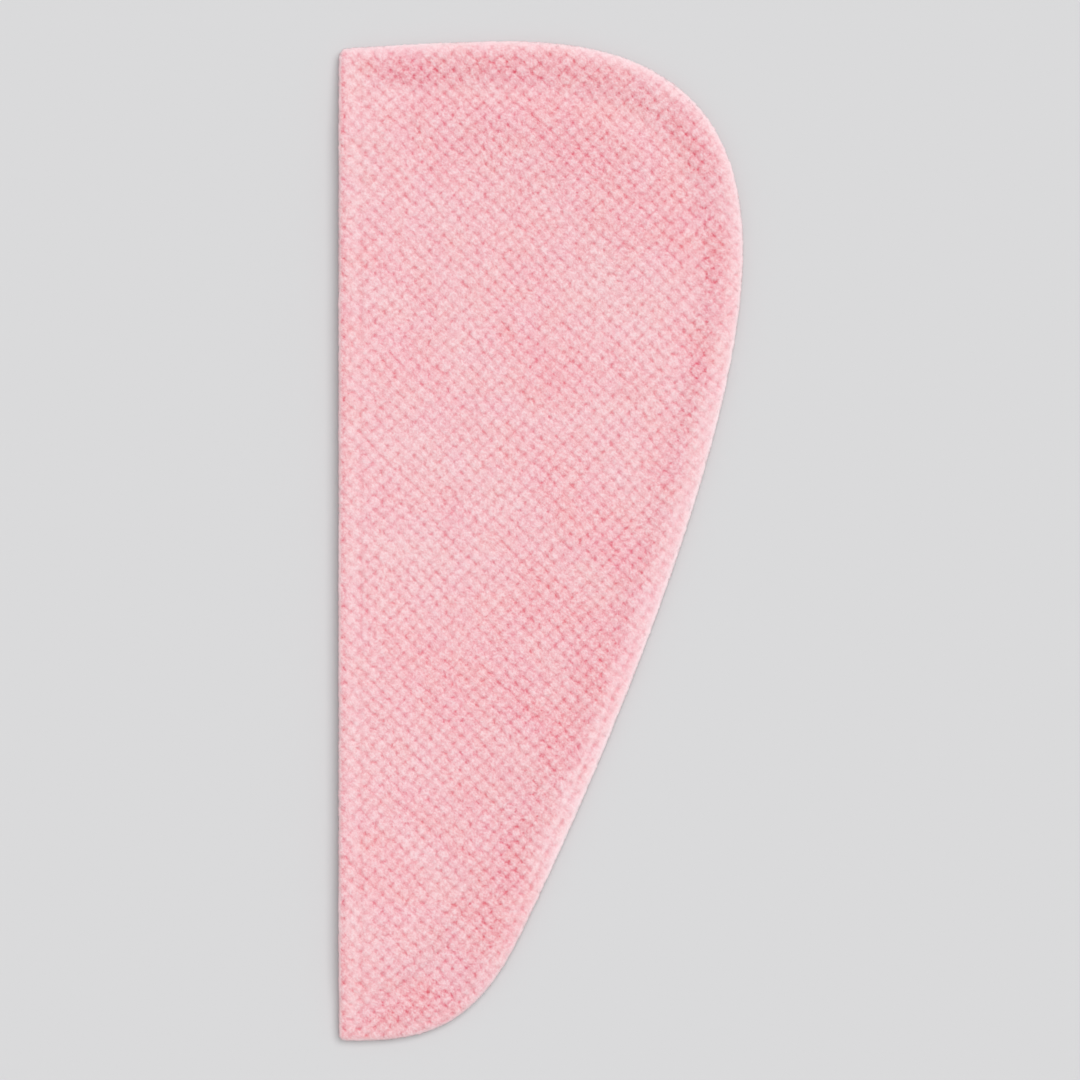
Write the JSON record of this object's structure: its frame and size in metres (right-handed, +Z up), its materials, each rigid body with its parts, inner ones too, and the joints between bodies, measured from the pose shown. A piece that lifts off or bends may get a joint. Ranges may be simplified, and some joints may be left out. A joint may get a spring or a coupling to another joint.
{
  "type": "hair turban towel",
  "caption": "Hair turban towel lying flat: two waffle fleece panels seamed round a curved edge, turned right side out, open along a straight hem for the head.",
  "frame": {"origin": "on the surface that the towel lies on, under the middle of its outline", "axes": "+Z up out of the surface, +Y along the straight hem from the narrow toe to the wide crown, +X from the open hem to the curved seam"},
  "size_m": [0.25, 0.62, 0.0128],
  "materials": {
    "fleece": "soft pink waffle fleece with a short brushed pile"
  },
  "bodies": {
    "root": {"upper_panel": "fleece", "lower_panel": "fleece"}
  },
  "joints": []
}
